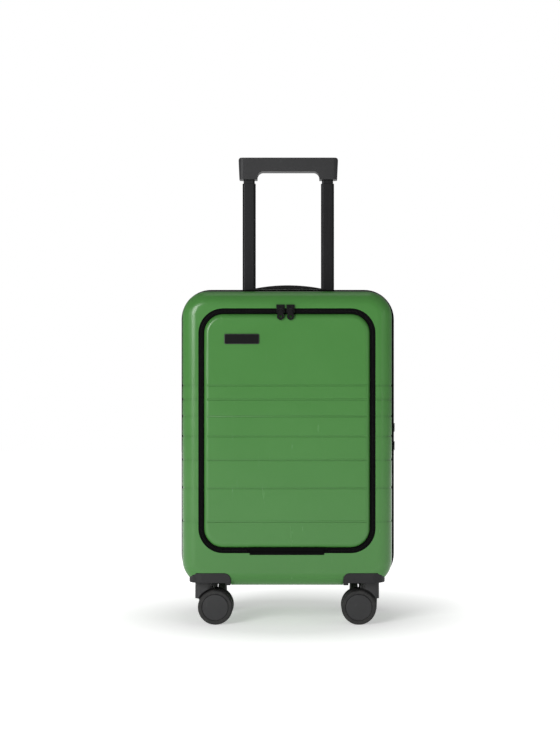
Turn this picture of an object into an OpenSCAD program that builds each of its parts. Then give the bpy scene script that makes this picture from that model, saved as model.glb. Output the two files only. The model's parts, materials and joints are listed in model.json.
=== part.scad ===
// Hard shell cabin suitcase on four double-wheel casters, standing upright with its front towards -Y.
// Origin: bottom centre, on the floor. X is the width, Y the depth and Z the height.

/* [Case] */
// Width of the two shells where they meet at the main zip
case_w = 344; // [344:1:413]
// Height of the two shells where they meet at the main zip
case_h = 478; // [470:1:560]
// Depth of each half shell, from the main zip to its outer face
half_d = 114; // [112:1:130]
// Height of the shells' lowest edge above the floor
shell_lift = 57.7; // [57.7:0.1:66]
// Radius of the case's four outer corners at the main zip
corner_r = 45.5; // [40:0.5:55]
// Radius that rounds the front and back faces into the sides
edge_r = 24; // [14:0.5:24]
// Slope of the side walls in degrees, so that the shell leaves its mould
draft = 3.3; // [1:0.1:4]
// Wall of the moulded shells
wall = 2.5; // [1.5:0.1:3]

/* [Grooves] */
// Width of one horizontal groove
groove_w = 3; // [2:0.1:4]
// Depth of one horizontal groove
groove_d = 1; // [0.4:0.1:1.2]
// Height of the highest groove above the floor
groove_top = 380.7; // [350:0.1:400]
// Step from the first groove down to the second
groove_step = 22.3; // [20:0.1:24]
// How much wider each step is than the one above it, as a ratio
groove_growth = 1.188; // [1:0.001:1.2]

/* [Pocket door] */
// Width of the door in the front face
door_w = 263; // [240:1:270]
// Height of the door
door_h = 369.8; // [330:1:374]
// Height of the door's middle above the floor
door_mid = 309; // [305:0.5:313]
// Radius of the door's corners
door_r = 31; // [20:1:40]
// How far the door stands proud of the front face
door_proud = 1.5; // [0.5:0.1:2]
// Wall of the moulded door
door_wall = 2.2; // [1.5:0.1:2.6]
// Width of the zip strip between the door and the frame
zip_gap = 8.3; // [7:0.1:9]
// Depth of the pocket behind the door
pocket_d = 32; // [20:1:36]

/* [Badge] */
// Width of the blank badge plate
badge_w = 55; // [30:1:70]
// Height of the blank badge plate
badge_h = 16; // [10:1:20]
// Thickness of the blank badge plate
badge_t = 1.4; // [0.8:0.1:2]

/* [Main zip] */
// How far the zip tape stands out from the shell
tape_proud = 3.3; // [2:0.1:4]
// Width of the zip tape on each half
tape_w = 8; // [6:0.5:10]

/* [Trolley] */
// Distance of the trolley's middle plane behind the main zip
trolley_y = 82; // [80:1:84]
// Distance from each end of the grip to the middle of its tube
tube_inset = 18; // [17:0.5:20]
// Width of the middle tubes
tube_w = 22.3; // [20:0.1:24]
// Depth of the middle tubes
tube_d = 13.2; // [12:0.1:14]
// Wall of every tube
tube_wall = 1.2; // [1:0.1:1.4]
// Clearance between one tube and the next
tube_fit = 0.4; // [0.3:0.05:0.5]
// Length of the middle tubes
middle_l = 300; // [280:5:320]
// Travel of the middle tubes
middle_travel = 228.5; // [180:0.1:232]
// Travel of the inner tubes
inner_travel = 225; // [180:1:228]
// Width of the grip
grip_w = 170; // [142:1:174]
// Height of the grip's bar
grip_bar = 23.5; // [22:0.1:26]
// Height of the grip from its top to the ends of its legs
grip_h = 37; // [36:0.5:40]
// Depth of the grip
grip_d = 22; // [20:0.5:23]

/* [Carry handle] */
// Half width of the carry handle
carry_half = 72; // [70:1:80]
// Height of the handle's arch over its ends
carry_rise = 9; // [7:0.5:12]
// Width of the carry handle's strap
carry_w = 22; // [18:1:24]

/* [Casters] */
// Diameter of each wheel
wheel_dia = 55.5; // [50:0.5:56]
// Width of each wheel
wheel_w = 14; // [10:0.5:15]
// Space between the two wheels of a caster
wheel_space = 18; // [17:0.5:20]
// Distance from the swivel axis to the wheel axis
trail = 19.4; // [17:0.1:21]
// Distance from the centre line to each front swivel axis
caster_x = 133.6; // [130:0.1:134]
// How much closer to the centre line the rear swivel axes stand
rear_inset = 6.6; // [0:0.1:10]
// Distance from the main zip to each swivel axis
caster_y = 76; // [74:0.5:77]
// Diameter of the swivel pin
kingpin_dia = 8; // [6:0.5:9]
// Diameter of the wheel axle
axle_dia = 5; // [4:0.5:6]
// Radial clearance of a turning pin in its bore
running_fit = 0.05; // [0.02:0.01:0.08]

/* [Hidden] */
$fn = 64;
big = 400;

// Gaps between neighbours
seam = 0.3;
seat = 0.2;
soft_gap = 0.5;

// Colours
shell_green = "#4f8a48";
black = "#141414";
charcoal = "#3c3c3e";
tube_grey = "#4a4b4d";
steel = "#b4b8bc";
lining_grey = "#6e7276";

// Case outline: the centres of its corner arcs, and its middle height
case_ax = case_w / 2 - corner_r;
case_ay = case_h / 2 - corner_r;
case_mid = shell_lift + case_h / 2;
case_top = shell_lift + case_h;

// Grooves, from the top down: each step is wider than the one before
groove_count = 7;
function groove_drop(i) = i == 0 ? 0 : groove_drop(i - 1) + groove_step * pow(groove_growth, i - 1);

// Door, its opening and the zip between them, as distances from the door's corner centres
door_ax = door_w / 2 - door_r;
door_ay = door_h / 2 - door_r;
door_depth = half_d + door_proud;
door_edge_r = 8.5;
door_back = door_depth - door_edge_r - 0.5;
opening_r = door_r + zip_gap;
tape_split = door_r + zip_gap / 2;
zip_face = half_d - 1;
tape_t = 1.2;
tape_lap = 3;
door_low = door_mid - door_h / 2;
door_high = door_mid + door_h / 2;
hinge_z = door_low - zip_gap + 1.9;

// Linings
lining_t = 1;
front_lining_d = half_d - wall - 2 - pocket_d - 1.8;
rear_lining_d = trolley_y - 11.5;
lining_r = corner_r - wall - soft_gap;

// Trolley, from the outermost tubes in
tube_x = grip_w / 2 - tube_inset;
screw_x = tube_x - 22;
outer_w = tube_w + 2 * (tube_fit + tube_wall);
outer_d = tube_d + 2 * (tube_fit + tube_wall);
inner_w = tube_w - 2 * (tube_fit + tube_wall);
inner_d = tube_d - 2 * (tube_fit + tube_wall);
tube_chamfer = 3;
cup_wall = 6;
cup_fit = 3;
cup_proud = 0.8;
cup_half_w = grip_w / 2 + cup_fit + cup_wall;
cup_half_d = grip_d / 2 + 2.5 + cup_wall;
cup_top = case_top - 0.5;
cup_floor = cup_top - grip_h;
cup_floor_t = 2.5;
outer_top = cup_floor - cup_floor_t;
bracket_half_d = outer_d / 2 + 2.8;
bracket_fit = 0.9;
bracket_low = shell_lift + wall + (trolley_y + bracket_half_d) * tan(draft) + bracket_fit;
outer_low = bracket_low + 5;
middle_top = cup_floor + middle_travel - 0.1;
neck = 6.5;
grip_low = middle_top + neck;
grip_top = grip_low + grip_h;
inner_low = middle_top - inner_travel - 65;
grip_end_r = 8;
leg_w = 32;
button_w = 44;
button_d = 13;
button_travel = 3.5;
cavity_floor = grip_top - grip_bar + 5;
cavity_top = grip_top - 4;

// Carry handle, behind the main zip
carry_y = 32;
carry_end_z = case_top + 4;
carry_top = carry_end_z + carry_rise;
carry_mount_top = case_top + 2.5;
carry_flange_low = case_top - (carry_y - 12) * tan(draft) + 0.1;
carry_leg = carry_half - 9;
carry_tab_w = 12;
carry_tab_t = 5;
carry_tab_low = case_top - 20;
sleeve_low = carry_tab_low - 6;
sleeve_w = carry_tab_w + 8;
sleeve_d = carry_tab_t + 8;

// Lock, let into the right wall of the rear shell
lock_z = case_mid;
lock_y = 28;
lock_h = 70;
lock_w = 28;
lock_out = case_w / 2 + 0.8;
lock_in = lock_out - 12;

// Casters
wheel_r = wheel_dia / 2;
wheel_in = wheel_space / 2;
wheel_out = wheel_in + wheel_w;
hub_r = wheel_r * 0.75;
fork_half_w = 13;
fork_half_d = 20;
fork_top = shell_lift + 9.5;
fork_low = wheel_r + 14;
fork_gap = 3;
web_half = wheel_in - 2.5;
housing_low = shell_lift + 10.9;
housing_lip = shell_lift + 7.4;
housing_top = shell_lift + 26.4;
housing_in = caster_x - 44.6;
housing_out = caster_x + 21.9;
housing_y0 = caster_y - 34;
housing_y1 = caster_y + 38.5;
housing_wall = 2.5;
housing_floor = 4;
boss_r = 10;
boss_top = housing_top - 3;

// Distance from the centre line to the swivel axes of one half
function swivel_x(sy) = sy > 0 ? caster_x - rear_inset : caster_x;

// ---- Shapes used by several pieces ----

// The front half works in a flat frame: x across, y up from a middle height, z out to the front
module front_frame(mid) translate([0, 0, mid]) rotate([90, 0, 0]) children();

// The rear half is the same, turned to the back
module rear_frame(mid) mirror([0, 1, 0]) front_frame(mid) children();

// Sweeps a section round a rounded rectangle, given the distances to its corner centres
module sweep_round(ax, ay) {
    for (k = [0:3]) {
        across = k % 2 == 0 ? ax : ay;
        along = k % 2 == 0 ? ay : ax;
        rotate([0, 0, 90 * k]) translate([across, along, 0]) {
            rotate_extrude(angle = 90) children();
            rotate([90, 0, 0]) linear_extrude(2 * along) children();
        }
    }
}

// Flat rounded rectangle, given the distances to its corner centres and its corner radius
module round_plate(ax, ay, r) {
    square([2 * (ax + r), 2 * ay], center = true);
    square([2 * ax, 2 * (ay + r)], center = true);
    for (x = [-ax, ax], y = [-ay, ay]) translate([x, y]) circle(r);
}

// Solid section of a drafted tray with a rounded edge, moved inwards by inset
module tray_section(r0, depth, edge, inset) {
    r = r0 - inset / cos(draft);
    d = depth - inset;
    f = edge - inset;
    rc = r - (f + (d - f) * sin(draft)) / cos(draft);
    yc = d - f;
    centre = [rc, yc];
    difference() {
        polygon([[0, 0], [r, 0], [r - d * tan(draft), d], [0, d]]);
        difference() {
            polygon([centre, centre + 2 * f * [cos(draft), sin(draft)], centre + [2 * f, 2 * f],
                centre + [0, 2 * f]]);
            translate(centre) circle(f);
        }
    }
}

// Section of a tray's wall, open at the main zip
module tray_wall(r0, depth, edge, t, rim) {
    difference() {
        tray_section(r0, depth, edge, 0);
        tray_section(r0, depth, edge, t);
        translate([-1, -1]) square([big, rim + 1]);
    }
}

// Tray with drafted walls round the case's outline
module case_tray(r0, depth, edge, t, rim) {
    sweep_round(case_ax, case_ay) tray_wall(r0, depth, edge, t, rim);
    translate([-case_ax, -case_ay, depth - t]) cube([2 * case_ax, 2 * case_ay, t]);
}

// Horizontal section of a half case, moved inwards by inset
module half_outline(inset) {
    translate([-case_ax - 0.5, 0]) square([2 * case_ax + 1, half_d - inset]);
    for (m = [0, 1]) mirror([m, 0]) translate([case_ax, 0])
        tray_section(corner_r, half_d, edge_r, inset);
}

// Grooves that run round the sides and the face of a half case
module case_grooves() {
    for (i = [0:groove_count - 1])
        translate([0, groove_top - groove_drop(i) - case_mid + groove_w / 2, 0]) rotate([90, 0, 0])
            linear_extrude(groove_w) difference() {
                translate([-big, -1]) square([2 * big, big]);
                half_outline(groove_d);
            }
}

// Points along an arc, from one angle to another
function arc(cx, cy, r, from, to) =
    [for (i = [0:4]) let(a = from + (to - from) * i / 4) [cx + r * cos(a), cy + r * sin(a)]];

// Outer form of the right caster housing of the half at +Y, grown by a clearance, from a lowest height
module housing_form(grow, low) {
    outer_r = 22;
    top_r = 10;
    x0 = housing_in - grow;
    x1 = housing_out + grow;
    y0 = housing_y0 - grow;
    y1 = housing_y1 + grow;
    top = housing_top + grow;
    intersection() {
        translate([0, 0, low]) linear_extrude(big)
            polygon(concat([[x0, y0], [x1, y0]], arc(x1 - outer_r, y1 - outer_r, outer_r, 0, 90),
                [[x0, y1]]));
        translate([0, big, 0]) rotate([90, 0, 0]) linear_extrude(2 * big)
            polygon(concat([[x0, 0], [x1, 0]], arc(x1 - top_r, top - top_r, top_r, 0, 90),
                arc(x0 + top_r, top - top_r, top_r, 90, 180)));
    }
}

// Puts a piece that is drawn for the right rear corner at another corner
module at_corner(sx, sy) mirror([sx < 0 ? 1 : 0, 0, 0]) mirror([0, sy < 0 ? 1 : 0, 0]) children();

// Box from its lowest to its highest corner
module box(low, high) translate(low) cube(high - low);

// ---- Shells, zips and linings ----

module half_shell(sy) {
    difference() {
        if (sy < 0) front_frame(case_mid) grooved_tray();
        else rear_frame(case_mid) grooved_tray();
        for (sx = [-1, 1]) at_corner(sx, sy) housing_form(seat, 0);
    }
}

module grooved_tray() {
    difference() {
        case_tray(corner_r, half_d, edge_r, wall, seam / 2);
        case_grooves();
    }
}

module rear_shell() color(shell_green) {
    difference() {
        half_shell(1);
        box([-cup_half_w - seat, trolley_y - cup_half_d - seat, outer_top],
            [cup_half_w + seat, trolley_y + cup_half_d + seat, case_top + 1]);
        box([lock_in - seat, lock_y - lock_w / 2 - seat, lock_z - lock_h / 2 - seat],
            [big, lock_y + lock_w / 2 + seat, lock_z + lock_h / 2 + seat]);
        for (x = [-carry_leg, carry_leg])
            box([x - sleeve_w / 2 - seat, carry_y - sleeve_d / 2 - seat, sleeve_low],
                [x + sleeve_w / 2 + seat, carry_y + sleeve_d / 2 + seat, case_top + 1]);
        rivet_places() cylinder(d = rivet_shank + 2 * running_fit, h = big, center = true);
        rivet_places() translate([0, 0, -rivet_sink - seat]) cylinder(d = rivet_head + 2 * seat, h = big);
    }
}

module front_shell() color(shell_green) {
    difference() {
        half_shell(-1);
        front_frame(door_mid) translate([0, 0, half_d - wall - 1]) linear_extrude(wall + 2)
            round_plate(door_ax, door_ay, opening_r);
    }
}

tape_fit = 0.1;

// Tape of the main zip on one half: its inner face follows the sloping shell wall
module zip_tape_ring() {
    sweep_round(case_ax, case_ay) polygon([
        [corner_r + tape_fit, seam / 2],
        [corner_r + tape_proud, seam / 2],
        [corner_r + tape_proud, tape_w - 1],
        [corner_r + tape_proud - 1, tape_w],
        [corner_r + tape_fit - tape_w * tan(draft), tape_w]
    ]);
}

module rear_zip_tape() color(black) {
    rear_frame(case_mid) zip_tape_ring();
}

module front_zip_tape() color(black) {
    front_frame(case_mid) zip_tape_ring();
}

lining_rim = 3;
lining_edge = 6;

module rear_lining() color(lining_grey) {
    difference() {
        rear_frame(case_mid) case_tray(lining_r, rear_lining_d, lining_edge, lining_t, lining_rim);
        for (sx = [-1, 1]) at_corner(sx, 1) housing_form(soft_gap, 0);
        box([-cup_half_w - soft_gap, trolley_y - cup_half_d - soft_gap, outer_top - soft_gap],
            [cup_half_w + soft_gap, big, 2 * big]);
        box([lock_in - soft_gap, lock_y - lock_w / 2 - soft_gap, lock_z - lock_h / 2 - soft_gap],
            [big, lock_y + lock_w / 2 + soft_gap, lock_z + lock_h / 2 + soft_gap]);
        for (x = [-carry_leg, carry_leg])
            box([x - sleeve_w / 2 - soft_gap, carry_y - sleeve_d / 2 - soft_gap, sleeve_low],
                [x + sleeve_w / 2 + soft_gap, carry_y + sleeve_d / 2 + soft_gap, 2 * big]);
    }
}

module front_lining() color(lining_grey) {
    difference() {
        front_frame(case_mid) case_tray(lining_r, front_lining_d, lining_edge, lining_t, lining_rim);
        for (sx = [-1, 1]) at_corner(sx, -1) housing_form(soft_gap, 0);
    }
}

divider_d = 6;
panel_r = lining_r - lining_t - divider_d * tan(draft) - seam - 0.1;

module divider_panel() color(black) {
    front_frame(case_mid) translate([0, 0, divider_d]) linear_extrude(tape_t)
        round_plate(case_ax, case_ay, panel_r);
}

strap_w = 25;
strap_y = 12;
buckle_w = 56;
buckle_h = 42;
buckle_t = 8;

// Two webbing straps crossed in the rear half, with the buckle that joins them in front
module packing_straps() color(black) {
    strap_r = lining_r - lining_t - (strap_y + tape_t) * tan(draft) - seam - 0.1;
    angle = atan2(case_ay + strap_r * sin(45), case_ax + strap_r * cos(45));
    rear_frame(case_mid) {
        translate([0, 0, strap_y]) linear_extrude(tape_t) intersection() {
            round_plate(case_ax, case_ay, strap_r);
            for (a = [-angle, angle]) rotate(a) square([2 * big, strap_w], center = true);
        }
        translate([-buckle_w / 2, -buckle_h / 2, strap_y - seam - buckle_t])
            cube([buckle_w, buckle_h, buckle_t]);
    }
}

// ---- Front pocket ----

module pocket_door() color(shell_green) {
    front_frame(door_mid) difference() {
        union() {
            sweep_round(door_ax, door_ay) difference() {
                door_section(0);
                door_section(door_wall);
                translate([-1, 0]) square([big, door_back]);
            }
            translate([-door_ax, -door_ay, door_depth - door_wall])
                cube([2 * door_ax, 2 * door_ay, door_wall]);
        }
        for (i = [0:groove_count - 1])
            translate([-big, groove_top - groove_drop(i) - door_mid - groove_w / 2, door_depth - groove_d])
                cube([2 * big, groove_w, groove_d + 1]);
    }
}

// Solid section of the door, moved inwards by inset: straight lip, rounded edge, flat face
module door_section(inset) {
    r = door_r - inset;
    f = door_edge_r - inset;
    d = door_depth - inset;
    square([r, d - f]);
    square([r - f, d]);
    translate([r - f, d - f]) circle(f);
}

// Zip tape sewn under the frame's edge, with the teeth's ridge in the gap
module pocket_frame_tape() color(black) {
    front_frame(door_mid) sweep_round(door_ax, door_ay) polygon([
        [tape_split + 0.05, half_d - wall - tape_t],
        [opening_r + tape_lap, half_d - wall - tape_t],
        [opening_r + tape_lap, half_d - wall],
        [opening_r - seat, half_d - wall],
        [opening_r - seat, zip_face],
        [tape_split + 0.05, zip_face]
    ]);
}

// Zip tape sewn under the door's lip, with the teeth's ridge in the gap
module pocket_door_tape() color(black) {
    front_frame(door_mid) sweep_round(door_ax, door_ay) polygon([
        [tape_split - 0.05, door_back - tape_t],
        [tape_split - 0.05, zip_face],
        [door_r + seat, zip_face],
        [door_r + seat, door_back],
        [door_r - 4, door_back],
        [door_r - 4, door_back - tape_t]
    ]);
}

// Fabric strip along the door's lower edge, where the door folds down
hinge_strip_w = 118;
hinge_strip_h = 4.5;

module hinge_strip() color(black) {
    box([-hinge_strip_w / 2, -half_d - tape_t, hinge_z - 0.1 - hinge_strip_h],
        [hinge_strip_w / 2, -half_d, hinge_z - 0.1]);
}

// Cloth box behind the door, hung from the frame's zip tape
liner_r = tape_split + 1.85;
liner_front = half_d - wall - tape_t - seam;

module pocket_liner() color(lining_grey) {
    floor_d = liner_front - pocket_d;
    front_frame(door_mid) {
        sweep_round(door_ax, door_ay) polygon([
            [0, floor_d],
            [liner_r, floor_d],
            [liner_r, liner_front - 1],
            [opening_r + 3, liner_front - 1],
            [opening_r + 3, liner_front],
            [liner_r - 1, liner_front],
            [liner_r - 1, floor_d + 1],
            [0, floor_d + 1]
        ]);
        translate([-door_ax, -door_ay, floor_d]) cube([2 * door_ax, 2 * door_ay, 1]);
    }
}

badge_x = -71.2;
badge_rise = 144.7;
badge_z = door_mid + badge_rise;

module badge_plate() color(black) {
    badge_r = 2;
    front_frame(badge_z) translate([badge_x, 0, door_depth]) linear_extrude(badge_t)
        round_plate(badge_w / 2 - badge_r, badge_h / 2 - badge_r, badge_r);
}

// Sliders stand side by side at the top of the pocket zip
slider_w = 13;
slider_x = 7.9;
slider_low = door_high + 1.3;
slider_high = door_high + zip_gap + 5.8;
slider_back = half_d + 0.4;
slider_t = 2.2;
pull_pin = 1.6;
pull_z = door_high + 8.5;
pull_depth = slider_back + slider_t + 2;
pull_w = 11.4;
pull_t = 1.8;
pull_l = 19;
barrel_r = 1.5;
barrel_half = 2.6;
cheek_t = 1.8;
zip_centre_x = -2.2;
pull_eye = 4;

module pocket_slider(side) color(black) {
    translate([zip_centre_x + side * slider_x, 0, 0]) difference() {
        union() {
            box([-slider_w / 2, -slider_back - slider_t, slider_low],
                [slider_w / 2, -slider_back, slider_high]);
            box([-slider_w / 2 + 2, -slider_back, door_high + 3],
                [slider_w / 2 - 2, -zip_face - seam, door_high + zip_gap - 2]);
            for (s = [-1, 1]) translate([s * (barrel_half + seam + cheek_t / 2), 0, 0])
                box([-cheek_t / 2, -pull_depth - 1.6, pull_z - 2.4],
                    [cheek_t / 2, -slider_back - slider_t, pull_z + 2.4]);
        }
        translate([0, -pull_depth, pull_z]) rotate([0, 90, 0])
            cylinder(d = pull_pin + 2 * running_fit, h = big, center = true);
    }
}

module pocket_pull(side) color(black) {
    end_z = pull_z - pull_l + pull_w / 2;
    translate([zip_centre_x + side * slider_x, -pull_depth, 0]) {
        difference() {
            union() {
                translate([0, pull_t / 2, 0]) rotate([90, 0, 0]) linear_extrude(pull_t) {
                    translate([0, end_z]) circle(pull_w / 2);
                    polygon([[-barrel_half, pull_z], [barrel_half, pull_z], [barrel_half, pull_z - 3.5],
                        [pull_w / 2, end_z + 1], [pull_w / 2, end_z], [-pull_w / 2, end_z],
                        [-pull_w / 2, end_z + 1], [-barrel_half, pull_z - 3.5]]);
                }
                translate([0, 0, pull_z]) rotate([0, 90, 0])
                    cylinder(r = barrel_r, h = 2 * barrel_half, center = true);
            }
            translate([0, 0, end_z]) rotate([90, 0, 0])
                cylinder(d = pull_eye, h = 2 * pull_t, center = true);
        }
        translate([0, 0, pull_z]) rotate([0, 90, 0])
            cylinder(d = pull_pin, h = 2 * (barrel_half + seam + cheek_t), center = true);
    }
}

// ---- Main zip sliders and lock, on the right side ----

main_slider_w = 14;
main_slider_z = 15;

module main_slider(side) color(steel) {
    face = case_w / 2 + tape_proud + seam;
    z0 = lock_z + side * main_slider_z;
    box([face, -tape_w / 2, z0 - main_slider_w / 2], [face + 1.4, tape_w / 2 + 1, z0 + main_slider_w / 2]);
    box([face, tape_w / 2 + 1, z0 - 4], [face + 1.4, lock_y - 3, z0 + 4]);
}

module lock_case() color(charcoal) {
    difference() {
        box([lock_in, lock_y - lock_w / 2, lock_z - lock_h / 2],
            [lock_out, lock_y + lock_w / 2, lock_z + lock_h / 2]);
        box([lock_out - 4, lock_y - 5, lock_z - 10], [big, lock_y + 5, lock_z + 10]);
        translate([lock_out, lock_y, lock_z - 24]) rotate([0, 90, 0]) cylinder(d = 7, h = 4, center = true);
        for (s = [-1, 1]) box([lock_out - 2, lock_y - lock_w / 2 - 1, lock_z + s * main_slider_z - 4.5],
            [big, lock_y - 7, lock_z + s * main_slider_z + 4.5]);
    }
}

module lock_button() color(steel) {
    box([lock_out - 3.7, lock_y - 4.7, lock_z - 9.7], [lock_out + 0.6, lock_y + 4.7, lock_z + 5.5]);
}

// ---- Rivets that hold the trolley to the back of the rear shell ----

rivet_head = 9;
rivet_shank = 4;
rivet_sink = 0.8;

// Places on the back face: one pair on each outer tube, low and high
module rivet_places() {
    for (x = [-tube_x, tube_x], z = [outer_low + 40, outer_top - 60])
        translate([x, half_d, z]) rotate([-90, 0, 0]) children();
}

module back_rivets() color(steel) {
    rivet_places() {
        translate([0, 0, -rivet_sink]) cylinder(d = rivet_head, h = rivet_sink);
        reach = half_d - trolley_y - outer_d / 2;
        translate([0, 0, -reach]) cylinder(d = rivet_shank, h = reach - rivet_sink);
        translate([0, 0, -reach]) cylinder(d = rivet_head, h = reach - wall - seat);
    }
}

// ---- Trolley ----

module tube_section(w, d, chamfer) {
    x = w / 2;
    y = d / 2;
    polygon([[-x + chamfer, -y], [x - chamfer, -y], [x, -y + chamfer], [x, y - chamfer],
        [x - chamfer, y], [-x + chamfer, y], [-x, y - chamfer], [-x, -y + chamfer]]);
}

module tube(side, w, d, chamfer, low, high) {
    bore = chamfer - tube_wall * 0.586;
    translate([side * tube_x, trolley_y, low]) linear_extrude(high - low) difference() {
        tube_section(w, d, chamfer);
        tube_section(w - 2 * tube_wall, d - 2 * tube_wall, bore);
    }
}

module trolley_outer(side) color(tube_grey) {
    tube(side, outer_w, outer_d, tube_chamfer + 0.8, outer_low, outer_top);
}

module middle_tube(side) color(tube_grey) {
    tube(side, tube_w, tube_d, tube_chamfer, middle_top - middle_l, middle_top);
}

module inner_tube(side) color(tube_grey) {
    tube(side, inner_w, inner_d, tube_chamfer - 0.8, inner_low, grip_low + 12);
}

// The top of the rear shell's outer form, between its corners, grown by a small amount
module rear_top_form(grow) {
    rear_frame(case_mid) rotate([0, 0, 90]) translate([case_ay, case_ax, 0]) rotate([90, 0, 0])
        linear_extrude(2 * case_ax) tray_section(corner_r, half_d, edge_r, -grow);
}

// Cup in the top of the rear shell, where the grip sinks when the trolley is pushed in
module trolley_cup() color(charcoal) {
    difference() {
        intersection() {
            box([-cup_half_w, trolley_y - cup_half_d, outer_top],
                [cup_half_w, trolley_y + cup_half_d, cup_top]);
            rear_top_form(cup_proud);
        }
        box([-cup_half_w + cup_wall, trolley_y - cup_half_d + cup_wall, cup_floor],
            [cup_half_w - cup_wall, trolley_y + cup_half_d - cup_wall, big * 2]);
        for (side = [-1, 1]) translate([side * tube_x, trolley_y, outer_top - 1])
            linear_extrude(cup_floor_t + 2)
                tube_section(tube_w + 2 * tube_fit, tube_d + 2 * tube_fit, tube_chamfer);
    }
}

// Bar that holds the feet of the outer tubes on the floor of the rear shell
module trolley_bracket() color(charcoal) {
    half = tube_x + outer_w / 2 + 4;
    difference() {
        box([-half, trolley_y - bracket_half_d, bracket_low],
            [half, trolley_y + bracket_half_d, bracket_low + 22]);
        for (side = [-1, 1]) translate([side * tube_x, trolley_y, outer_low])
            linear_extrude(big) tube_section(outer_w + 2 * seat, outer_d + 2 * seat, tube_chamfer + 0.8);
    }
}

// The grip's whole form: front outline and plan outline cut each other
module grip_form() {
    taper = 1.6;
    top_r = 4;
    arch_r = 10;
    half = grip_w / 2;
    bar_low = grip_top - grip_bar;
    leg_in = half - leg_w;
    intersection() {
        translate([0, trolley_y + grip_d / 2, 0]) rotate([90, 0, 0]) linear_extrude(grip_d) difference() {
            union() {
                polygon([[-half + taper, grip_low], [half - taper, grip_low],
                    [half, grip_top - top_r], [-half, grip_top - top_r]]);
                translate([-half + top_r, grip_top - 2 * top_r]) square([grip_w - 2 * top_r, 2 * top_r]);
                for (s = [-1, 1]) translate([s * (half - top_r), grip_top - top_r]) circle(top_r);
            }
            translate([-leg_in, grip_low - 1]) square([2 * leg_in, bar_low - arch_r - grip_low + 1]);
            translate([-leg_in + arch_r, grip_low - 1])
                square([2 * (leg_in - arch_r), bar_low - grip_low + 1]);
            for (s = [-1, 1]) translate([s * (leg_in - arch_r), bar_low - arch_r]) circle(arch_r);
        }
        translate([0, trolley_y, grip_low - 1]) linear_extrude(grip_h + 2)
            round_plate(half - grip_end_r, grip_d / 2 - grip_end_r, grip_end_r);
    }
}

// Hollows of the grip: sockets for the tubes, and the room of the button
module grip_hollows() {
    for (side = [-1, 1]) translate([side * tube_x, trolley_y, grip_low - 1]) linear_extrude(13.2)
        tube_section(inner_w + 0.1, inner_d + 0.1, tube_chamfer - 0.8);
    box([-button_w / 2 - 4, trolley_y - 8, cavity_floor], [button_w / 2 + 4, trolley_y + 8, cavity_top]);
    translate([0, trolley_y, cavity_top - 1]) linear_extrude(6)
        round_plate((button_w - button_d) / 2, 0.01, button_d / 2 + seam);
}

module grip_half(sy) color(charcoal) {
    difference() {
        intersection() {
            grip_form();
            translate([-big, sy < 0 ? trolley_y - big : trolley_y + 0.05, 0])
                cube([2 * big, big - 0.05, 3 * big]);
        }
        grip_hollows();
        grip_screw_places() {
            cylinder(d = 3 + 2 * seat, h = grip_d - 4);
            cylinder(d = 6 + 2 * seat, h = 3);
        }
    }
}

// The two halves are screwed together from the back, beside the tubes
module grip_screw_places() {
    for (x = [-screw_x, screw_x]) translate([x, trolley_y + grip_d / 2, grip_top - grip_bar / 2])
        rotate([90, 0, 0]) children();
}

module grip_screws() color(steel) {
    grip_screw_places() {
        translate([0, 0, 0.6]) cylinder(d = 6, h = 2.2);
        translate([0, 0, 2.8]) cylinder(d = 3, h = grip_d - 7.5);
    }
}

// Push button in the top of the grip, with its flange and foot
module grip_button() color(black) {
    translate([0, trolley_y, cavity_top - 0.5]) linear_extrude(grip_top - 0.4 - cavity_top + 0.5)
        round_plate((button_w - button_d) / 2, 0.01, button_d / 2);
    box([-button_w / 2 - 2, trolley_y - 7.5, cavity_top - seam - 2.5],
        [button_w / 2 + 2, trolley_y + 7.5, cavity_top - seam]);
    box([-6, trolley_y - 4, cavity_floor + button_travel + 0.5],
        [6, trolley_y + 4, cavity_top - seam - 2.5]);
}

// ---- Carry handle ----

module carry_handle() color(black) {
    arch_r = (carry_half * carry_half + carry_rise * carry_rise) / (2 * carry_rise);
    under = carry_end_z + 2.6;
    low = carry_mount_top + seam;
    bay = carry_half - 18;
    translate([0, carry_y + carry_w / 2, 0]) rotate([90, 0, 0]) linear_extrude(carry_w) difference() {
        intersection() {
            translate([0, carry_top - arch_r]) circle(arch_r, $fn = 256);
            translate([-carry_half, low]) square([2 * carry_half, carry_rise + 10]);
        }
        translate([-bay, low - 1]) square([2 * bay, under - low + 1]);
    }
    for (x = [-carry_leg, carry_leg])
        box([x - carry_tab_w / 2, carry_y - carry_tab_t / 2, carry_tab_low],
            [x + carry_tab_w / 2, carry_y + carry_tab_t / 2, low + 0.5]);
}

// Sleeves let into the top of the rear shell, which guide the handle's ends
module carry_handle_mounts() color(charcoal) {
    for (x = [-carry_leg, carry_leg]) difference() {
        union() {
            box([x - sleeve_w / 2 - 3, carry_y - 12, carry_flange_low],
                [x + sleeve_w / 2 + 3, carry_y + 12, carry_mount_top]);
            box([x - sleeve_w / 2, carry_y - sleeve_d / 2, sleeve_low],
                [x + sleeve_w / 2, carry_y + sleeve_d / 2, carry_flange_low + 1]);
        }
        box([x - carry_tab_w / 2 - seam, carry_y - carry_tab_t / 2 - seam, sleeve_low + 2],
            [x + carry_tab_w / 2 + seam, carry_y + carry_tab_t / 2 + seam, big * 2]);
    }
}

// ---- Casters ----

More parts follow.
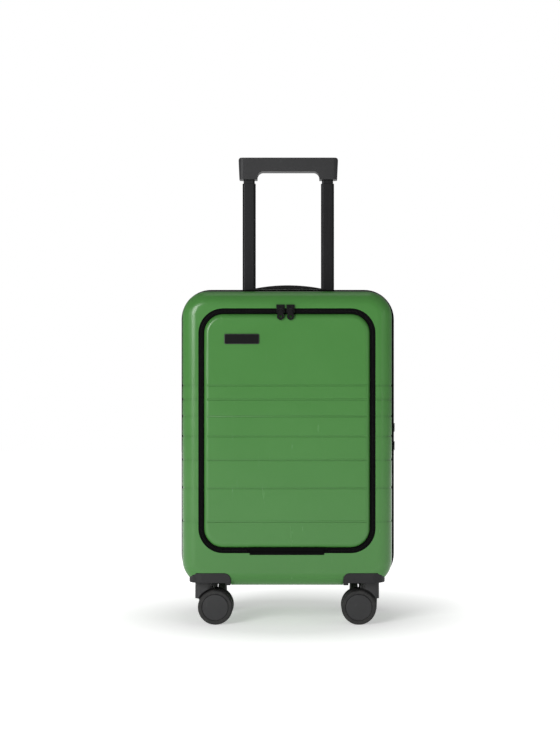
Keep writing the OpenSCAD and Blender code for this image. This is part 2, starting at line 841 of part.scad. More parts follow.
// Moulded cup at each lower corner, which carries the swivel pin in its boss
module caster_housing(sx, sy) color(charcoal) {
    at_corner(sx, sy) difference() {
        housing_form(0, housing_lip);
        difference() {
            box([housing_in + housing_wall, housing_y0 + housing_wall, housing_low + housing_floor],
                [housing_out - housing_wall - 4, housing_y1 - housing_wall - 4, big]);
            translate([swivel_x(sy), caster_y, 0]) cylinder(r = boss_r, h = boss_top);
        }
        translate([swivel_x(sy), caster_y, 0]) cylinder(d = kingpin_dia, h = big);
        box([housing_in + 8, 0, 0], [big, big, housing_low]);
    }
}

module swivel_pins(sy) color(steel) {
    for (sx = [-1, 1]) translate([sx * swivel_x(sy), sy * caster_y, 0]) {
        translate([0, 0, fork_low + 6]) cylinder(d = kingpin_dia, h = boss_top - fork_low - 6);
        translate([0, 0, boss_top]) cylinder(d = 2 * kingpin_dia, h = 2.5);
    }
}

// Turns a caster's pieces, drawn with the swivel axis at the origin and the wheels trailing to +X
module caster_frame(sx, sy) {
    turn = sy > 0 ? -90 : (sx < 0 ? 0 : 180);
    translate([sx * swivel_x(sy), sy * caster_y, 0]) rotate([0, 0, turn]) children();
}

// Horizontal pin at the wheel axis, from one distance to another along Y
module axle_rod(d, from, to) {
    translate([trail, to, wheel_r]) rotate([90, 0, 0]) cylinder(d = d, h = to - from);
}

module caster_fork(sx, sy) color(charcoal) {
    caster_frame(sx, sy) difference() {
        union() {
            difference() {
                translate([0, 0, fork_low]) linear_extrude(fork_top - fork_low)
                    round_plate(fork_half_w - 8, fork_half_d - 8, 8);
                for (s = [-1, 1]) axle_rod(2 * (wheel_r + fork_gap), s < 0 ? -big : web_half + 0.5,
                    s < 0 ? -web_half - 0.5 : big);
            }
            translate([0, web_half, 0]) rotate([90, 0, 0]) linear_extrude(2 * web_half) {
                polygon([[-fork_half_w + 2, fork_low], [-fork_half_w + 2, fork_top],
                    [fork_half_w - 1, fork_top], [trail + 6.5, wheel_r + 4.6], [trail, wheel_r],
                    [trail - 5.8, wheel_r - 5.5]]);
                translate([trail, wheel_r]) circle(8);
            }
            translate([0, 0, fork_top - 1]) cylinder(r = 12, h = housing_low - seam - fork_top + 1);
        }
        translate([0, 0, fork_low + 5]) cylinder(d = kingpin_dia + 2 * running_fit, h = big);
        axle_rod(axle_dia + 2 * running_fit, -big, big);
    }
}

module caster_axle(sx, sy) color(steel) {
    caster_frame(sx, sy) axle_rod(axle_dia, -wheel_out + 2, wheel_out - 2);
}

// Section of a hub: inner rim, web and closed outer face
module hub_section() {
    bore = axle_dia / 2 + 0.02;
    polygon([[bore, wheel_in + 0.5], [8, wheel_in + 0.5], [8, wheel_in + 3], [hub_r - 2, wheel_in + 3],
        [hub_r - 2, wheel_in + 0.5], [hub_r, wheel_in + 0.5], [hub_r, wheel_out - 1.2],
        [hub_r - 0.8, wheel_out - 0.4], [0, wheel_out], [0, wheel_out - 1.8], [bore, wheel_out - 1.8]]);
}

// Section of a tyre, with bevelled shoulders
module tyre_section() {
    polygon([[hub_r + 0.05, wheel_in + 1], [wheel_r - 2, wheel_in + 1], [wheel_r, wheel_in + 3],
        [wheel_r, wheel_out - 3], [wheel_r - 2, wheel_out - 0.8], [hub_r + 0.8, wheel_out - 0.8],
        [hub_r + 0.05, wheel_out - 1.6]]);
}

// A section spun round the axle, once for each wheel of the caster
module wheel_pair(sx, sy) {
    caster_frame(sx, sy) translate([trail, 0, wheel_r]) for (m = [0, 1]) mirror([0, m, 0])
        rotate([-90, 0, 0]) rotate_extrude() children();
}

module caster_wheels(sx, sy) color(charcoal) {
    wheel_pair(sx, sy) hub_section();
}

module caster_tyres(sx, sy) color(black) {
    wheel_pair(sx, sy) tyre_section();
}

rear_shell();
rear_zip_tape();
rear_lining();
packing_straps();
trolley_outer(-1);  // trolley_outer_left
trolley_outer(1);  // trolley_outer_right
trolley_cup();
trolley_bracket();
carry_handle_mounts();
back_rivets();
lock_case();
lock_button();
main_slider(1);  // main_slider_upper
main_slider(-1);  // main_slider_lower
caster_housing(-1, 1);  // rear_left_housing
caster_housing(1, 1);  // rear_right_housing
swivel_pins(1);  // rear_swivel_pins
carry_handle();
front_shell();
front_zip_tape();
front_lining();
divider_panel();
pocket_liner();
pocket_frame_tape();
hinge_strip();
caster_housing(-1, -1);  // front_left_housing
caster_housing(1, -1);  // front_right_housing
swivel_pins(-1);  // front_swivel_pins
pocket_door();
pocket_door_tape();
badge_plate();
pocket_slider(-1);  // pocket_slider_left
pocket_slider(1);  // pocket_slider_right
pocket_pull(-1);  // pocket_pull_left
pocket_pull(1);  // pocket_pull_right
middle_tube(-1);  // middle_tube_left
middle_tube(1);  // middle_tube_right
inner_tube(-1);  // inner_tube_left
inner_tube(1);  // inner_tube_right
grip_half(-1);  // grip_front
grip_half(1);  // grip_back
grip_screws();
grip_button();
caster_fork(-1, -1);  // front_left_fork
caster_axle(-1, -1);  // front_left_axle
caster_wheels(-1, -1);  // front_left_wheels
caster_tyres(-1, -1);  // front_left_tyres
caster_fork(1, -1);  // front_right_fork
caster_axle(1, -1);  // front_right_axle
caster_wheels(1, -1);  // front_right_wheels
caster_tyres(1, -1);  // front_right_tyres
caster_fork(-1, 1);  // rear_left_fork
caster_axle(-1, 1);  // rear_left_axle
caster_wheels(-1, 1);  // rear_left_wheels
caster_tyres(-1, 1);  // rear_left_tyres
caster_fork(1, 1);  // rear_right_fork
caster_axle(1, 1);  // rear_right_axle
caster_wheels(1, 1);  // rear_right_wheels
caster_tyres(1, 1);  // rear_right_tyres
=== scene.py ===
import json
from math import atan2, cos, pi, radians, sin, tan

import bpy
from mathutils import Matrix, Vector, noise

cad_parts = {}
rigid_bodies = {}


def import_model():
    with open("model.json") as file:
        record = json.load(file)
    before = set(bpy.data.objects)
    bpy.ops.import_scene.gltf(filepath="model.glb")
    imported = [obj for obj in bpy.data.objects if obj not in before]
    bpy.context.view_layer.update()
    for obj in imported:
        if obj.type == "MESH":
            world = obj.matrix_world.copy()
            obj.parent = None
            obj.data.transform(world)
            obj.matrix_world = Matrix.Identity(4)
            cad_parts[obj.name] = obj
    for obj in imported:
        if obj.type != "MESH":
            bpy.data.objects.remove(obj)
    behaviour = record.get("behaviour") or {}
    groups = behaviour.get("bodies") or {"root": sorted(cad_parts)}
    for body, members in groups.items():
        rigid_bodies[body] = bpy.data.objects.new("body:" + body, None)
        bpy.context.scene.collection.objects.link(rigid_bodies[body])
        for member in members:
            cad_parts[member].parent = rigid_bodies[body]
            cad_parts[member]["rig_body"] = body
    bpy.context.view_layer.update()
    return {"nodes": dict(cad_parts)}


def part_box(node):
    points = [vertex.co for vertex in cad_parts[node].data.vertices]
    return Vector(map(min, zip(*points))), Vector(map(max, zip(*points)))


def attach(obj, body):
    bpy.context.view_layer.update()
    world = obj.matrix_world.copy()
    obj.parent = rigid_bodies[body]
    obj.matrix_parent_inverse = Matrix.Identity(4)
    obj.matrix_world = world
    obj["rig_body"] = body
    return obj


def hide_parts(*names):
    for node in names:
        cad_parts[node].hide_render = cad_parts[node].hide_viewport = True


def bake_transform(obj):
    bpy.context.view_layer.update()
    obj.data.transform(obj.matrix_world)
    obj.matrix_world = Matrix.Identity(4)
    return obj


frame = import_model()

# ---- Studio ----
# The case stands on a white floor in a white room. The floor glows white, dimmer round the case as a painted
# shadow.
# A large soft panel at the front left lights it, with two weaker panels and two narrow strips at the sides
# and one above. The camera looks level, 0.37 m up.
bpy.ops.object.select_all(action="DESELECT")
bpy.ops.mesh.primitive_plane_add(size=14)
floor = bpy.context.object
floor.name = "studio_floor"
paint = bpy.data.materials.new("floor_with_painted_shadow")
paint.use_nodes = True
coat = paint.node_tree.nodes["Principled BSDF"].inputs
coat["Base Color"].default_value = (0.85, 0.85, 0.85, 1)
coat["Roughness"].default_value = 0.9
coat["Specular IOR Level"].default_value = 0.1
coat["Emission Strength"].default_value = 1.0
# Painted shadow: the floor's glow fades from full white beyond 0.45 m of the middle to 0.42 within 0.17 m of
# it.
spot = paint.node_tree.nodes.new("ShaderNodeTexCoord")
reach = paint.node_tree.nodes.new("ShaderNodeVectorMath")
reach.operation = "LENGTH"
glow_dimmed_as_painted_shadow = paint.node_tree.nodes.new("ShaderNodeMapRange")
for socket, value in ((1, 0.17), (2, 0.45), (3, 0.42), (4, 1.0)):
    glow_dimmed_as_painted_shadow.inputs[socket].default_value = value
paint.node_tree.links.new(spot.outputs["Object"], reach.inputs[0])
paint.node_tree.links.new(reach.outputs["Value"], glow_dimmed_as_painted_shadow.inputs["Value"])
paint.node_tree.links.new(glow_dimmed_as_painted_shadow.outputs["Result"], coat["Emission Color"])
floor.data.materials.append(paint)

room = bpy.data.worlds.new("white_room")
room.use_nodes = True
wall = room.node_tree.nodes["Background"]
wall.inputs["Color"].default_value = (1, 1, 1, 1)
seen = room.node_tree.nodes.new("ShaderNodeLightPath")
dimmed = room.node_tree.nodes.new("ShaderNodeMapRange")
dimmed.inputs["To Min"].default_value = 0.21
dimmed.inputs["To Max"].default_value = 1.0
room.node_tree.links.new(seen.outputs["Is Camera Ray"], dimmed.inputs["Value"])
room.node_tree.links.new(dimmed.outputs["Result"], wall.inputs["Strength"])
bpy.context.scene.world = room
bpy.context.scene.view_settings.view_transform = "Standard"

for name, place, turn, width, height, power in (
    ("front_panel", (-1.6, -2.8, 1.25), (74, 0, -30), 1.3, 1.3, 60),
    ("left_panel", (-1.9, -1.2, 0.9), (84, 0, -60), 0.7, 0.7, 2.5),
    ("right_panel", (1.9, -1.2, 0.9), (84, 0, 60), 0.5, 0.5, 1),
    ("left_strip", (-1.35, -1.75, 0.7), (90, 0, -38), 0.06, 1.6, 1.8),
    ("right_strip", (1.45, -1.65, 0.7), (90, 0, 41), 0.05, 1.6, 1.0),
    ("top_panel", (0.0, 0.3, 2.2), (0, 0, 0), 1.0, 1.0, 2),
):
    bpy.ops.object.light_add(type="AREA", location=place, rotation=[radians(a) for a in turn])
    panel = bpy.context.object
    panel.name = name
    panel.data.shape = "RECTANGLE"
    panel.data.size = width
    panel.data.size_y = height
    panel.data.energy = power

bpy.ops.object.camera_add(location=(0.028, -2.4155, 0.3654), rotation=(radians(90), 0, 0))
camera = bpy.context.object
camera.data.lens = 70.4
camera.data.shift_x = -0.0331
camera.data.shift_y = 0.0295
bpy.context.scene.camera = camera


# ---- Shells and pocket door ----
# Two half shells and the door of the front pocket, each moulded in green plastic with a fine pebbled grain.
# Their edges and the lips of their grooves come out of the mould slightly rounded.
class Wire:
    """A value in a finish, so that arithmetic on it adds the Math nodes."""

    def __init__(self, finish, socket):
        self.finish = finish
        self.socket = socket

    def worked(self, operation, first, second):
        return self.finish.add("ShaderNodeMath", {"operation": operation}, {0: first, 1: second})

    def __add__(self, other):
        return self.worked("ADD", self, other)

    def __radd__(self, other):
        return self.worked("ADD", other, self)

    def __sub__(self, other):
        return self.worked("SUBTRACT", self, other)

    def __rsub__(self, other):
        return self.worked("SUBTRACT", other, self)

    def __mul__(self, other):
        return self.worked("MULTIPLY", self, other)

    def __rmul__(self, other):
        return self.worked("MULTIPLY", other, self)


class Finish:
    """A material under way: its nodes, and the place on the piece that its patterns read."""

    def __init__(self, name):
        self.material = bpy.data.materials.new(name)
        self.material.use_nodes = True
        self.tree = self.material.node_tree
        self.tree.nodes.clear()
        self.place = self.add("ShaderNodeTexCoord", output="Object")

    def add(self, kind, settings=None, values=None, output=0):
        node = self.tree.nodes.new(kind)
        for setting, value in (settings or {}).items():
            setattr(node, setting, value)
        for socket, value in (values or {}).items():
            if isinstance(value, Wire):
                self.tree.links.new(value.socket, node.inputs[socket])
            else:
                node.inputs[socket].default_value = value
        return Wire(self, node.outputs[output])

    def scaled(self, sizes):
        """The place divided by the pattern's size along each axis."""
        return self.add("ShaderNodeMapping", {}, {"Vector": self.place, "Scale": [1 / s for s in sizes]})

    def cloud(self, size, detail=2, stretch=(1, 1, 1)):
        place = self.scaled([size * s for s in stretch])
        return self.add("ShaderNodeTexNoise", {}, {"Vector": place, "Scale": 1, "Detail": detail})

    def pebbles(self, size):
        place = self.scaled([size] * 3)
        return self.add("ShaderNodeTexVoronoi", {"feature": "SMOOTH_F1"}, {"Vector": place, "Scale": 1})

    def stripes(self, size, axis):
        """Even ridges across one axis, one in each size."""
        place = self.scaled([size] * 3)
        settings = {"wave_type": "BANDS", "bands_direction": axis, "wave_profile": "SIN"}
        return self.add("ShaderNodeTexWave", settings, {"Vector": place, "Scale": 0.31416})

    def between(self, value, low, high, first, last):
        """The value's way from low to high, as a number from first to last."""
        return self.add("ShaderNodeMapRange", {}, {0: value, 1: low, 2: high, 3: first, 4: last})

    def tint(self, share, first, second):
        return self.blended(share, (*first, 1), (*second, 1))

    def blended(self, share, first, second):
        """Mixes two colours, each a wire or four numbers."""
        return self.add("ShaderNodeMix", {"data_type": "RGBA"}, {0: share, 6: first, 7: second}, 2)

    def finished(self, colour, roughness, height, relief, **fixed):
        """Closes the material: height is a number pattern, and relief its depth in metres."""
        bump = self.add("ShaderNodeBump", {}, {"Strength": 1, "Distance": relief, "Height": height})
        values = {"Base Color": colour, "Roughness": roughness, "Normal": bump}
        values |= {name.replace("_", " "): value for name, value in fixed.items()}
        surface = self.add("ShaderNodeBsdfPrincipled", {}, values)
        out = self.tree.nodes.new("ShaderNodeOutputMaterial")
        self.tree.links.new(surface.socket, out.inputs["Surface"])
        return self.material


def pick(*pieces):
    """Selects these objects alone, the first of them active."""
    bpy.ops.object.select_all(action="DESELECT")
    for piece in pieces:
        piece.select_set(True)
    bpy.context.view_layer.objects.active = pieces[0]


def dress(piece, finish, body, slot, *stands_for):
    """Gives a piece its finish and its body, and says which CAD nodes it stands for. slot is not used."""
    piece.data.materials.clear()
    piece.data.materials.append(finish)
    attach(piece, body)
    if stands_for:
        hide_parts(*stands_for)
    return piece


def moulded(node, finish, slot, edge, rings=2):
    """The CAD node's own form with its edges rounded, which stands for it."""
    part = frame["nodes"][node]
    piece = bpy.data.objects.new(node + "_moulded", part.data.copy())
    bpy.context.scene.collection.objects.link(piece)
    pick(piece)
    bpy.ops.mesh.customdata_custom_splitnormals_clear()
    bpy.ops.object.mode_set(mode="EDIT")
    bpy.ops.mesh.select_all(action="SELECT")
    bpy.ops.mesh.remove_doubles(threshold=0.000002)
    bpy.ops.mesh.dissolve_limited(angle_limit=radians(0.5))
    bpy.ops.object.mode_set(mode="OBJECT")
    bpy.ops.object.shade_smooth_by_angle(angle=radians(32))
    rounding = piece.modifiers.new("edges", "BEVEL")
    rounding.width = edge
    rounding.segments = rings
    rounding.limit_method = "ANGLE"
    rounding.angle_limit = radians(32)
    bpy.ops.object.modifier_apply(modifier="edges")
    evening = piece.modifiers.new("even", "WEIGHTED_NORMAL")
    evening.keep_sharp = True
    bpy.ops.object.modifier_apply(modifier="even")
    return dress(piece, finish, part["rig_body"], slot, node)


def shell_plastic():
    green = Finish("shell_plastic")
    grain = green.pebbles(0.0011)
    drift = green.cloud(0.09, 3)
    fine = green.cloud(0.0005, 2)
    scuffs = green.between(green.cloud(0.012, 4, (1, 1, 4)), 0.66, 0.74, 0, 0.35)
    body = green.tint(drift, (0.046, 0.170, 0.034), (0.054, 0.188, 0.040))
    colour = green.blended(scuffs * 0.25, body, (0.10, 0.25, 0.085, 1))
    return green.finished(colour, 0.20 + 0.07 * drift + 0.12 * scuffs, grain + 0.4 * fine, 0.00004,
                          Specular_IOR_Level=0.42)


green_plastic = shell_plastic()
moulded("front_shell", green_plastic, "shell_plastic", 0.0007, 3)
moulded("rear_shell", green_plastic, "shell_plastic", 0.0007, 3)
moulded("pocket_door", green_plastic, "shell_plastic", 0.0007, 3)


# ---- Pocket zip ----
# A black woven tape is sewn inside the edge of the frame and another under the lip of the door, and a
# nylon coil joins them. The coil stops short of the door's lower edge, which is sewn down as a hinge.
def cloth(name, dark, light, thread, roughness=0.85, relief=0.00012, sheen=0.0, gloss=0.05):
    """Plain woven cloth: threads over and under each other, a thread's width apart."""
    weave = Finish(name)
    warp = weave.stripes(2 * thread, "X")
    weft = weave.stripes(2 * thread, "Z")
    depth = weave.stripes(2 * thread, "Y")
    over = warp * weft + (1 - warp) * (1 - weft)
    drift = weave.cloud(0.03, 3)
    fuzz = weave.cloud(thread * 0.4, 2)
    colour = weave.tint(0.6 * over + 0.4 * drift, dark, light)
    return weave.finished(colour, roughness + 0.1 * fuzz - 0.05, over + 0.35 * depth + 0.3 * fuzz, relief,
                          Sheen_Weight=sheen, Specular_IOR_Level=gloss)


def run_round(name, section, across, up, middle, side, loop=True, steps=10, parts=(1, 1)):
    """Runs a section round a rounded rectangle. Each point is (out from the corner centre, depth)."""
    points = [(across + out, side * depth, middle + up) for out, depth in section]
    edges = [(i, i + 1) for i in range(len(points) - 1)] + ([(len(points) - 1, 0)] if loop else [])
    drawn = bpy.data.meshes.new(name)
    drawn.from_pydata(points, edges, [])
    piece = bpy.data.objects.new(name, drawn)
    bpy.context.scene.collection.objects.link(piece)
    pick(piece)
    bpy.ops.object.mode_set(mode="EDIT")
    bpy.ops.mesh.select_all(action="SELECT")
    for x, z, run in ((1, 1, (-1, 0)), (-1, 1, (0, -1)), (-1, -1, (1, 0)), (1, -1, (0, 1))):
        corner = (x * across, 0, middle + z * up)
        bpy.ops.mesh.spin(steps=steps, angle=radians(90), center=corner, axis=(0, 1, 0))
        pieces = parts[0] if run[0] else parts[1]
        for _ in range(pieces):
            step = (2 * across * run[0] / pieces, 0, 2 * up * run[1] / pieces)
            bpy.ops.mesh.extrude_region_move(TRANSFORM_OT_translate={"value": step})
    bpy.ops.mesh.select_all(action="SELECT")
    bpy.ops.mesh.remove_doubles(threshold=0.00002)
    bpy.ops.mesh.normals_make_consistent(inside=False)
    bpy.ops.object.mode_set(mode="OBJECT")
    bpy.ops.object.shade_smooth_by_angle(angle=radians(40))
    return piece


def bead(size, edge):
    """One small block with cut edges, as the corners of a mesh: sizes along, out and deep."""
    bpy.ops.object.select_all(action="DESELECT")
    bpy.ops.mesh.primitive_cube_add(size=1)
    block = bpy.context.object
    bpy.ops.object.mode_set(mode="EDIT")
    bpy.ops.transform.resize(value=size)
    bpy.ops.mesh.bevel(offset=edge, segments=1, affect="EDGES")
    bpy.ops.object.mode_set(mode="OBJECT")
    corners = [tuple(v.co) for v in block.data.vertices]
    faces = [tuple(f.vertices) for f in block.data.polygons]
    bpy.data.objects.remove(block)
    return corners, faces


def beads_round(name, size, edge, pitch, across, up, radius, middle, side, depth, phase=0, skip=None):
    """Sets beads a pitch apart round a rounded rectangle, at one depth. skip is half the bare width below."""
    corners, faces = bead(size, edge)
    runs = []
    for x, z, along in ((1, 1, 2 * across), (-1, 1, 2 * up), (-1, -1, 2 * across), (1, -1, 2 * up)):
        runs += [("turn", x, z, pi * radius / 2), ("run", x, z, along)]
    total = sum(r[3] for r in runs)
    count = round(total / pitch)
    points, polygons = [], []
    for i in range(count):
        way = (i + phase) * total / count % total
        for k, (kind, x, z, length) in enumerate(runs):
            if way <= length:
                break
            way -= length
        angle = radians(90) * (k // 2)
        if kind == "turn":
            angle += way / radius
            spot = Vector((x * across + radius * cos(angle), z * up + radius * sin(angle)))
        else:
            angle += radians(90)
            heading = Vector((-sin(angle), cos(angle)))
            spot = Vector((x * across, z * up)) + radius * Vector((cos(angle), sin(angle))) + way * heading
        if skip and spot.y < 0 and abs(spot.x) < skip:
            continue
        out = Vector((cos(angle), sin(angle)))
        heading = Vector((-sin(angle), cos(angle)))
        start = len(points)
        for u, v, w in corners:
            p = spot + u * heading + v * out
            points.append((p.x, side * (depth + w), middle + p.y))
        polygons += [tuple(start + c for c in f) for f in faces]
    drawn = bpy.data.meshes.new(name)
    drawn.from_pydata(points, [], polygons)
    piece = bpy.data.objects.new(name, drawn)
    bpy.context.scene.collection.objects.link(piece)
    pick(piece)
    bpy.ops.object.mode_set(mode="EDIT")
    bpy.ops.mesh.select_all(action="SELECT")
    bpy.ops.mesh.normals_make_consistent(inside=False)
    bpy.ops.object.mode_set(mode="OBJECT")
    bpy.ops.object.shade_smooth_by_angle(angle=radians(50))
    return piece


def black_nylon():
    nylon = Finish("zip_nylon")
    drift = nylon.cloud(0.02, 2)
    fine = nylon.cloud(0.0004, 2)
    colour = nylon.tint(drift, (0.002, 0.002, 0.002), (0.004, 0.004, 0.0045))
    return nylon.finished(colour, 0.36 + 0.15 * fine, fine, 0.00003, Specular_IOR_Level=0.15)


zip_cloth = cloth("zip_tape_weave", (0.0015, 0.0015, 0.0015), (0.004, 0.004, 0.0045), 0.0005)
zip_nylon = black_nylon()
door_across, door_up, door_middle = 0.1005, 0.1539, 0.3090
frame_tape = run_round(
    "pocket_frame_tape_sewn",
    [(0.0352, 0.1103), (0.0423, 0.1103), (0.0423, 0.1115), (0.0391, 0.1115), (0.0390, 0.1121),
     (0.0384, 0.1126), (0.0372, 0.1127), (0.0366, 0.1125), (0.0362, 0.1121), (0.0352, 0.1120)],
    door_across, door_up, door_middle, -1)
dress(frame_tape, zip_cloth, "front_body", "zip_black", "pocket_frame_tape")
door_tape = run_round(
    "pocket_door_tape_sewn",
    [(0.0351, 0.1053), (0.0351, 0.1120), (0.0341, 0.1121), (0.0337, 0.1125), (0.0331, 0.1127),
     (0.0318, 0.1126), (0.0313, 0.1121), (0.0312, 0.1065), (0.0270, 0.1065), (0.0270, 0.1053)],
    door_across, door_up, door_middle, -1)
dress(door_tape, zip_cloth, "door", "zip_black", "pocket_door_tape")
# A bead's size, its edge and the pitch of its row
pocket_coil = (0.0009, 0.0021, 0.0012), 0.0003, 0.0022
pocket_stitch = (0.0021, 0.00035, 0.0003), 0.0001, 0.0029
pocket_coil_depth, pocket_stitch_depth = 0.1126, 0.1128
pocket_coil_bare = 0.064
for name, body, radius, phase in (
    ("pocket_coil_frame", "front_body", 0.03565, 0),
    ("pocket_coil_door", "door", 0.03465, 0.5),
):
    coil = beads_round(name, *pocket_coil, door_across, door_up, radius, door_middle, -1, pocket_coil_depth,
                       phase, pocket_coil_bare)
    dress(coil, zip_nylon, body, "zip_black")
sewing = Finish("sewing_thread")
sewing_drift = sewing.cloud(0.01, 2)
sewing_ply = sewing.cloud(0.0003, 2)
sewing_thread = sewing.finished(sewing.tint(sewing_drift, (0.004, 0.004, 0.004), (0.009, 0.009, 0.010)),
                                0.6 + 0.2 * sewing_ply, sewing_ply, 0.00005, Specular_IOR_Level=0.1)
for name, body, radius in (
    ("pocket_stitches_frame", "front_body", 0.0377),
    ("pocket_stitches_door", "door", 0.0325),
):
    row = beads_round(name, *pocket_stitch, door_across, door_up, radius, door_middle, -1,
                      pocket_stitch_depth)
    dress(row, sewing_thread, body, "zip_black")


# ---- Pocket sliders and pulls ----
# Two die-cast sliders meet at the top of the pocket zip, each with a drop-shaped pull on a pin. Both are
# lacquered black, with small pale rubbed specks scattered over them.
def black_lacquer():
    lacquer = Finish("black_lacquer")
    drift = lacquer.cloud(0.01, 3)
    specks = lacquer.between(lacquer.cloud(0.0015, 4), 0.62, 0.72, 0, 1)
    body = lacquer.tint(drift, (0.003, 0.003, 0.003), (0.006, 0.006, 0.0065))
    colour = lacquer.blended(0.3 * specks, body, (0.04, 0.04, 0.04, 1))
    return lacquer.finished(colour, 0.28 + 0.2 * drift, drift, 0.00008, Coat_Weight=0.03, Coat_Roughness=0.15,
                            Specular_IOR_Level=0.12)


lacquer_black = black_lacquer()
for end in ("left", "right"):
    moulded(f"pocket_slider_{end}", lacquer_black, "zip_metal", 0.0016, 3)
    moulded(f"pocket_pull_{end}", lacquer_black, "zip_metal", 0.0004)


# ---- Badge ----
# A thin blank plate of dark anodised metal, brushed along its length and glued to the door.
def brushed(name, dark, light, axis_stretch, metallic, roughness, gloss=0.5):
    metal = Finish(name)
    lines = metal.cloud(0.0004, 3, axis_stretch)
    drift = metal.cloud(0.05, 2)
    colour = metal.tint(0.7 * lines + 0.3 * drift, dark, light)
    return metal.finished(colour, roughness + 0.14 * lines, lines, 0.00001, Metallic=metallic,
                          Specular_IOR_Level=gloss)


badge_metal = brushed("badge_metal", (0.003, 0.003, 0.003), (0.006, 0.006, 0.007), (60, 1, 1), 0.1, 0.45, 0.1)
moulded("badge_plate", badge_metal, "black_plastic", 0.0004)
badge_low, badge_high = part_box("badge_plate")
face = -badge_low.y
corner = 0.0025
rim = run_round(
    "badge_rim",
    [(corner - 0.0012, face - 0.0002), (corner - 0.0001, face - 0.0002), (corner - 0.0001, face + 0.0002),
     (corner - 0.0004, face + 0.0004), (corner - 0.0009, face + 0.0004), (corner - 0.0012, face + 0.0001)],
    (badge_high.x - badge_low.x) / 2 - corner, (badge_high.z - badge_low.z) / 2 - corner,
    (badge_high.z + badge_low.z) / 2, -1, steps=6)
for v in rim.data.vertices:
    v.co.x += (badge_high.x + badge_low.x) / 2
rim_metal = brushed("rim_metal", (0.020, 0.020, 0.021), (0.034, 0.034, 0.035), (60, 1, 1), 0.6, 0.3)
dress(rim, rim_metal, "door", "black_plastic")


# ---- Door hinge ----
# A bound strip of black fabric is sewn along the frame under the door, and a flap of the same fabric joins
# it to the door's lower lip.
moulded("hinge_strip", zip_cloth, "zip_black", 0.0005, 3)
bpy.ops.object.select_all(action="DESELECT")
bpy.ops.mesh.primitive_grid_add(x_subdivisions=40, y_subdivisions=10, size=1)
flap = bpy.context.object
flap.name = "door_hinge_flap"
flap_width, flap_length, flap_bow = 0.116, 0.0082, 0.0004
flap_depth, flap_low = 0.1131, 0.1159
for v in flap.data.vertices:
    rise = v.co.y + 0.5
    v.co = (v.co.x * flap_width, -flap_depth - flap_bow * sin(pi * rise), flap_low + flap_length * rise)
thick = flap.modifiers.new("thick", "SOLIDIFY")
thick.thickness = 0.0006
thick.offset = 0
bpy.ops.object.modifier_apply(modifier="thick")
bpy.ops.object.shade_smooth_by_angle(angle=radians(40))
flap.data.materials.append(zip_cloth)
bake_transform(flap)


# ---- Main zip ----
# Each shell carries a woven tape with a piped edge, sewn through its rim all round, and half of a nylon
# coil. Two flat steel pulls hang from its sliders at the lock.
case_across, case_up, case_middle = 0.1265, 0.1935, 0.2967
main_coil = (0.0010, 0.0015, 0.0034), 0.0004, 0.0025
main_stitch = (0.0026, 0.0003, 0.0004), 0.0001, 0.0036
main_coil_radius, main_coil_depth = 0.0473, 0.0013
main_stitch_radius, main_stitch_depth = 0.0469, 0.0038
for end, side, body, phase in (("rear", 1, "rear_body", 0), ("front", -1, "front_body", 0.5)):
    tape = run_round(
        f"{end}_zip_tape_sewn",
        [(0.0456, 0.00015), (0.0467, 0.00015), (0.0468, 0.0034), (0.0470, 0.0042), (0.0475, 0.0047),
         (0.0481, 0.0050), (0.0486, 0.0056), (0.0488, 0.0063), (0.0486, 0.0070), (0.0481, 0.0076),
         (0.0474, 0.0079), (0.0466, 0.0080), (0.0452, 0.0080)],
        case_across, case_up, case_middle, side, steps=14)
    dress(tape, zip_cloth, body, "zip_black", f"{end}_zip_tape")
    coil = beads_round(f"{end}_zip_coil", *main_coil, case_across, case_up, main_coil_radius, case_middle,
                       side, main_coil_depth, phase)
    dress(coil, zip_nylon, body, "zip_black")
    row = beads_round(f"{end}_zip_stitches", *main_stitch, case_across, case_up, main_stitch_radius,
                      case_middle, side, main_stitch_depth)
    dress(row, sewing_thread, body, "zip_black")

slider_steel = brushed("slider_steel", (0.42, 0.42, 0.43), (0.60, 0.60, 0.61), (1, 1, 40), 1.0, 0.25)
for end in ("upper", "lower"):
    moulded(f"main_slider_{end}", slider_steel, "zip_metal", 0.0004)


# ---- Lock ----
# A grey moulded case let into the side of the rear shell, with slots for the two pulls, a steel push
# button and a round key socket.
def moulded_plastic(name, dark, light, grain_size=0.0009, roughness=0.5, relief=0.00005, gloss=0.3):
    plastic = Finish(name)
    grain = plastic.pebbles(grain_size)
    drift = plastic.cloud(0.04, 3)
    marks = plastic.between(plastic.cloud(0.006, 4, (1, 1, 3)), 0.64, 0.74, 0, 1)
    body = plastic.tint(drift, dark, light)
    paler = tuple(c * 1.8 + 0.01 for c in light)
    colour = plastic.blended(0.25 * marks, body, (*paler, 1))
    rough = roughness + 0.12 * drift + 0.08 * marks
    return plastic.finished(colour, rough, grain, relief, Specular_IOR_Level=gloss)


charcoal_plastic = moulded_plastic("charcoal_plastic", (0.016, 0.016, 0.017), (0.024, 0.024, 0.025))
steel = brushed("bright_steel", (0.40, 0.40, 0.41), (0.58, 0.58, 0.59), (1, 1, 20), 1.0, 0.28)
moulded("lock_case", charcoal_plastic, "grey_plastic", 0.0006)
moulded("lock_button", steel, "steel", 0.0004)


# ---- Carry handle ----
# A flexible strap moulded in soft black plastic over a sprung band, with a tab at each end that slides in
# a sleeve in the top of the rear shell.
soft_black = moulded_plastic("soft_black_plastic", (0.003, 0.003, 0.003), (0.006, 0.006, 0.006), 0.0013, 0.42,
                             0.00008, 0.2)
moulded("carry_handle", soft_black, "black_plastic", 0.0016, 3)
moulded("carry_handle_mounts", charcoal_plastic, "grey_plastic", 0.0006)


